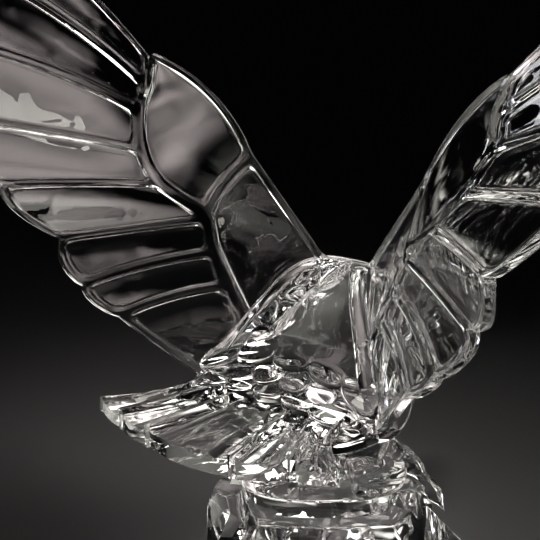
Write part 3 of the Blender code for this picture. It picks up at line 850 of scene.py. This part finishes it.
# Name, turn from the tail to the left wing, rise, reach, width, height, glow,
# colour, soft edge
LAMPS = (
    ("ceiling", -35, 68, 1.1, 1.1, 1.0, 2.8, ROSY, 0.45),
    ("over_covert", -42, 42, 1.1, 0.75, 0.6, 3.8, ROSY, 0.5),
    ("window", -14, 22, 1.3, 0.5, 0.3, 2.2, ROSY, 0.5),
    ("inner_wing", -68, 24, 1.1, 0.45, 0.3, 1.0, WARM, 0.5),
    ("left_of_back", 80, 42, 1.0, 0.36, 0.3, 6.5, WARM, 0.5),
    ("over_back", 64, 51, 1.0, 0.5, 0.5, 2.4, WARM, 0.5),
    ("over_head", 150, 42, 1.0, 0.6, 0.35, 3.0, WARM, 0.4),
    ("before_head", 163, 16, 1.0, 0.85, 0.16, 3.2, WARM, 0.0),
    ("low_left", 112, 5, 1.0, 0.35, 0.15, 1.4, WARM, 0.5),
    ("left_rim", 75, 15, 1.0, 0.12, 0.5, 7.0, COOL, 0.0),
    ("right_rim", -124, 20, 1.0, 0.12, 0.5, 7.0, WARM, 0.0),
    ("low_right", -90, 5, 1.0, 0.2, 0.3, 6.0, WARM, 0.0),
)
# Pale cards close to the glass: name, place, aim, width, height, glow, colour
CARDS = (
    ("card_behind_wing", (-0.06, 0.22, 0.03), (0.10, 0.05, 0.20), 0.22, 0.16, 3.0, ROSY),
    ("card_behind_tail", (0.02, 0.19, 0.004), (0.0, 0.08, 0.06), 0.34, 0.14, 3.0, WARM),
    ("card_left_of_tail", (0.19, 0.12, 0.004), (0.04, 0.08, 0.07), 0.2, 0.16, 3.0, WARM),
)
CARD_MARGIN = 0.5
FLOOR_LAMP_PLACE = (0.0, 0.0, 0.55)
FLOOR_LAMP_SIZE = 0.1
FLOOR_LAMP_GLOW = 0.85
FLOOR_LAMP_SPREAD = 60.0
FLOOR_HALF_WIDTH = 16.0
NEAR_BLACK = (0.0018, 0.0018, 0.002, 1.0)

# Camera, recovered from the wings' outlines
CAMERA_PLACE = (-0.2063, 0.3149, 0.230)
CAMERA_LOOK = Vector((0.581, -0.763, -0.282))
LENS_IN_PIXELS = 1004.7
PICTURE_WIDTH = 540.0
SENSOR_WIDTH = 36.0


def place_round_bird(turn, rise, reach):
    """The place at a turn, a rise and a distance from the bird."""
    turn, rise = math.radians(turn), math.radians(rise)
    level = math.cos(rise)
    return BIRD + Vector((math.sin(turn) * level, math.cos(turn) * level, math.sin(rise))) * reach


def soften_lamp(lamp, margin):
    """Let a lamp's face fade out over a share of its size at each edge."""
    face = Finish(lamp, "Emission")
    place = face.add("ShaderNodeNewGeometry", {}, output="Parametric")
    strength = 1.0
    for axis in ("X", "Y"):
        across = face.add("ShaderNodeSeparateXYZ", {}, [place], axis)
        to_edge = 0.5 - (across - 0.5).maths("ABSOLUTE")
        strength = strength * face.add("ShaderNodeMapRange", {"interpolation_type": "SMOOTHSTEP"},
                                       {"Value": to_edge, "From Max": margin})
    face.set(Strength=strength)


def softbox(name, place, aim, width, height, glow, colour, margin=0.0, lights=None, spread=180.0):
    """A rectangular lamp; glow is how bright its face looks."""
    lamp = bpy.data.lights.new(name, 'AREA')
    lamp.shape = 'RECTANGLE'
    lamp.size, lamp.size_y = width, height
    lamp.energy = glow * math.pi * width * height
    lamp.color = colour
    lamp.spread = math.radians(spread)
    if margin:
        soften_lamp(lamp, margin)
    box = bpy.data.objects.new(name, lamp)
    box.location = place
    box.rotation_euler = (Vector(aim) - Vector(place)).to_track_quat('-Z', 'Y').to_euler()
    box.visible_camera = False
    box.light_linking.receiver_collection = lights
    bpy.context.scene.collection.objects.link(box)


def light_studio(eagle):
    glass = bpy.data.collections.new("glass_only")
    glass.objects.link(eagle)
    for name, turn, rise, reach, width, height, glow, colour, margin in LAMPS:
        place = place_round_bird(turn, rise, reach)
        softbox(name, place, BIRD, width, height, glow, colour, margin, glass)
    for name, place, aim, width, height, glow, colour in CARDS:
        softbox(name, place, aim, width, height, glow, colour, CARD_MARGIN, glass)
    softbox("floor_pool", FLOOR_LAMP_PLACE, (0.0, 0.0, 0.0), FLOOR_LAMP_SIZE, FLOOR_LAMP_SIZE,
            FLOOR_LAMP_GLOW, WARM, spread=FLOOR_LAMP_SPREAD)


def set_render():
    scene = bpy.context.scene
    scene.world = bpy.data.worlds.new("dark_studio")
    scene.world.use_nodes = True
    scene.world.node_tree.nodes["Background"].inputs[0].default_value = NEAR_BLACK
    scene.cycles.max_bounces = 24
    scene.cycles.transmission_bounces = 24
    scene.cycles.glossy_bounces = 16
    scene.cycles.diffuse_bounces = 2
    scene.cycles.use_denoising = True
    scene.view_settings.view_transform = 'Standard'


def set_camera():
    camera = bpy.data.cameras.new("camera")
    camera.sensor_width = SENSOR_WIDTH
    camera.lens = LENS_IN_PIXELS / PICTURE_WIDTH * SENSOR_WIDTH
    eye = bpy.data.objects.new("camera", camera)
    eye.location = CAMERA_PLACE
    eye.rotation_euler = CAMERA_LOOK.to_track_quat('-Z', 'Y').to_euler()
    bpy.context.scene.collection.objects.link(eye)
    bpy.context.scene.camera = eye


def main():
    crystal = clear_crystal()
    make_floor()
    eagle = make_eagle()
    eagle.data.materials.append(crystal)
    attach(eagle, "root")
    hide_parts("crystal_eagle")

    light_studio(eagle)
    set_render()
    set_camera()


main()
